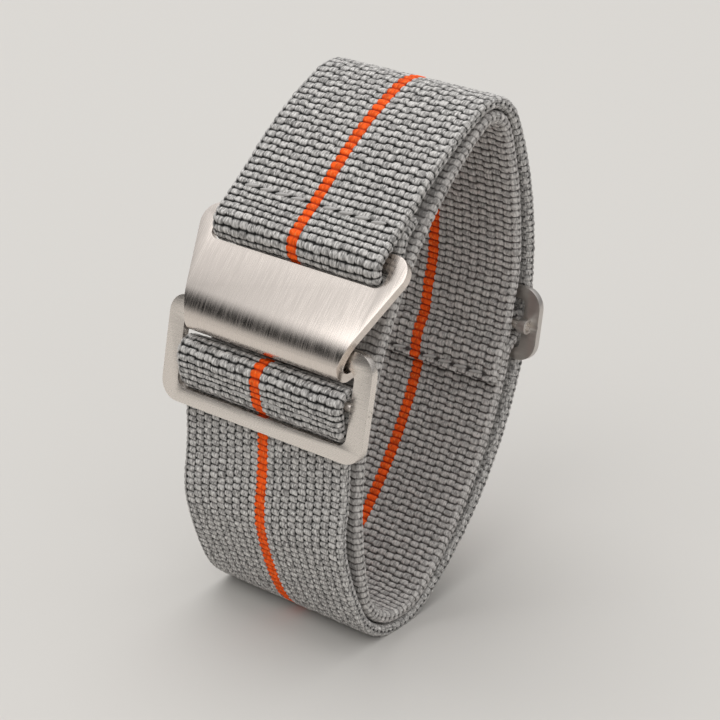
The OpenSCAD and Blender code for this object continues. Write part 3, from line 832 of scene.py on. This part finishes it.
# Painted light: a lighter copy of the grey yarn for the inner strap, with less contrast.
grey_yarn_painted_light_inside = yarn_material("grey_yarn_inside_painted_light", inside_painted_light_grey, inside_gap_shade, yarn_painted_highlight,
                            highlight_share=0.45, contrast=0.6)
inner_runs = [
    ("inner_flap_run", 0, flap_row, ["slider_pocket"]),
    ("inner_upper_run", flap_row, behind_row,
     ["inner_back_upper", "inner_top", "inner_front_upper"]),
    ("inner_front_run", behind_row, foot_row, ["inner_front", "inner_front_lower"]),
    ("inner_bottom_run", foot_row, low_row, ["inner_bottom"]),
    ("inner_under_run", low_row, inner_rows, ["inner_back_lower"])]
for run, first, last, stands_for in inner_runs:
    squeeze = {"inner_under_run": pressed, "inner_flap_run": flattened}.get(run, even)
    webbing = woven(run, inner_path, first, last, inner_stagger, squeeze, inner_seams)
    column = inlay(run + "_orange", inner_path, first, last, inner_stagger, squeeze, inner_seams)
    webbing.data.materials.append(grey_yarn_painted_light_inside)
    column.data.materials.append(orange_yarn)
    for piece in (webbing, column):
        piece.data.materials.append(cut_end)
    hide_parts(*stands_for)
    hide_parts("inner_stripe")
    for piece in (webbing, column):
        if run == "inner_flap_run":
            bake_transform(piece)
        elif run == "inner_upper_run":
            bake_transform(piece)
        elif run in ("inner_front_run", "inner_bottom_run"):
            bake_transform(piece)
        else:
            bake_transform(piece)

# Hook, catch frame and slider
# Stamped stainless sheet with rounded edges: the hook brushed along the strap, the two frames
# satin. The bars are turned wire between the sides of the frames.
weld = 2e-6
flat_bend = math.radians(1.0)
sharp_bend = math.radians(35)
smooth_bend = math.radians(40)


def finished_metal(node, body, material, edge):
    """A merged copy of a metal node with its sharp edges rounded."""
    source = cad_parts[node]
    bm = bmesh.new()
    bm.from_mesh(source.data)
    bmesh.ops.remove_doubles(bm, verts=bm.verts, dist=weld)
    bmesh.ops.dissolve_limit(bm, angle_limit=flat_bend, verts=bm.verts, edges=bm.edges)
    sharp = [e for e in bm.edges if e.is_manifold and e.calc_face_angle(0) > sharp_bend]
    bmesh.ops.bevel(bm, geom=sharp, offset=edge * MM, offset_type="OFFSET", affect="EDGES",
                    segments=3, profile=0.5, material=-1, clamp_overlap=True)
    for f in bm.faces:
        f.smooth = True
    mesh = mesh_from(bm, node + "_finished")
    mesh.set_sharp_from_angle(angle=smooth_bend)
    piece = add_object(mesh.name, mesh)
    mesh.materials.append(material)
    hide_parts(node)
    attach(piece, body)


def steel(name, colour, roughness, streak, bump_depth, shades):
    """Bare steel with a grain: streaks that are a little rougher, darker and deeper. Streak is
    how finely the grain runs along each axis; shades is how far its colour varies."""
    mat = bpy.data.materials.new(name)
    mat.use_nodes = True
    n, l = mat.node_tree.nodes, mat.node_tree.links
    shader = n["Principled BSDF"]
    shader.inputs["Metallic"].default_value = 1.0
    place = n.new("ShaderNodeTexCoord")
    stretch = n.new("ShaderNodeMapping")
    stretch.inputs["Scale"].default_value = streak
    grain = n.new("ShaderNodeTexNoise")
    grain.inputs["Scale"].default_value = 1000.0
    grain.inputs["Detail"].default_value = 3.0
    rough = n.new("ShaderNodeMapRange")
    rough.inputs["From Min"].default_value = 0.3
    rough.inputs["From Max"].default_value = 0.7
    rough.inputs["To Min"].default_value = roughness - 0.06
    rough.inputs["To Max"].default_value = roughness + 0.06
    tint = n.new("ShaderNodeValToRGB")
    for k, (at_grain, shade) in enumerate(((0.35, 1 - shades), (0.65, 1 + shades))):
        tint.color_ramp.elements[k].position = at_grain
        tint.color_ramp.elements[k].color = [c * shade for c in colour[:3]] + [1]
    bump = n.new("ShaderNodeBump")
    bump.inputs["Strength"].default_value = 0.5
    bump.inputs["Distance"].default_value = bump_depth
    l.new(place.outputs["Object"], stretch.inputs["Vector"])
    l.new(stretch.outputs["Vector"], grain.inputs["Vector"])
    l.new(grain.outputs["Fac"], rough.inputs["Value"])
    l.new(grain.outputs["Fac"], tint.inputs["Fac"])
    l.new(tint.outputs["Color"], shader.inputs["Base Color"])
    l.new(rough.outputs["Result"], shader.inputs["Roughness"])
    l.new(grain.outputs["Fac"], bump.inputs["Height"])
    l.new(bump.outputs["Normal"], shader.inputs["Normal"])
    return mat


along_strap = (7.0, 0.45, 0.45)
across_strap = (0.45, 6.0, 6.0)
brushed = steel("brushed_steel", (0.76, 0.69, 0.635, 1), roughness=0.25,
                streak=along_strap, bump_depth=0.000010, shades=0.05)
satin = steel("satin_steel", (0.79, 0.735, 0.685, 1), roughness=0.27,
              streak=across_strap, bump_depth=0.000004, shades=0.03)
# Painted shade: the slider's satin steel is darker in colour for the shade on its inner face
# inside the loop; it is also rougher.
rough_satin_painted_shade = steel("rough_satin_steel_painted_shade", (0.60, 0.565, 0.535, 1), roughness=0.38,
                   streak=across_strap, bump_depth=0.000004, shades=0.03)
finished_metal("hook_plate", "hook", brushed, 0.12)
finished_metal("catch_frame", "clasp", satin, 0.16)
finished_metal("catch_bar", "clasp", satin, 0.04)
finished_metal("slider_frame", "slider", rough_satin_painted_shade, 0.10)
finished_metal("slider_bar", "slider", satin, 0.04)

# Sewn seams
# Polyester thread in the colour of the webbing, pulled down between the ribs. The seam behind the
# catch frame is out of sight and keeps its plain form.
thread_yarn = matt_material("sewing_thread", (0.46, 0.445, 0.43, 1), 0.6)[0]
stitches_a_side = 4
stitch_slant = 0.16
stitch_half = (0.17, 0.19, 0.80)


def stitches(node, body, path, row, lift):
    """One line of stitches on the webbing's face, each dipping into its two needle holes. The
    place of the orange column stays bare."""
    (place,), (out,) = at(path, [row])
    out = Vector((0, out[0], out[1]))
    forward = Vector((0, out.z, -out.y))
    middle = Vector((0, place[0], place[1])) + out * (web_t / 2 + puff + lift)
    lie = (Vector((1, 0, 0)) + forward * stitch_slant).normalized()
    axes = (out.cross(lie), out, lie)
    shape = Matrix([a * half for a, half in zip(axes, stitch_half)]).transposed().to_4x4()
    bm = bmesh.new()
    for k in range(-stitches_a_side, stitches_a_side + 1):
        if k:
            spot = Matrix.Translation(middle + Vector((k * stitch_len, 0, 0)))
            bmesh.ops.create_uvsphere(bm, u_segments=12, v_segments=12, radius=1,
                                      matrix=spot @ shape)
    bmesh.ops.scale(bm, vec=(MM, MM, MM), verts=bm.verts)
    bmesh.ops.recalc_face_normals(bm, faces=bm.faces)
    for f in bm.faces:
        f.smooth = True
    mesh = mesh_from(bm, node + "_stitches")
    piece = add_object(mesh.name, mesh)
    mesh.materials.append(thread_yarn)
    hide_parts(node)
    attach(piece, body)


stitches("hook_seam", "hook", outer_path, hook_stitch_row, -0.10)
stitches("slider_seam", "slider", inner_path, flap_seam_row, -0.22)
hidden_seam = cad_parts["catch_seam"]
hidden_seam.data.materials.clear()
hidden_seam.data.materials.append(thread_yarn)

bpy.context.view_layer.update()
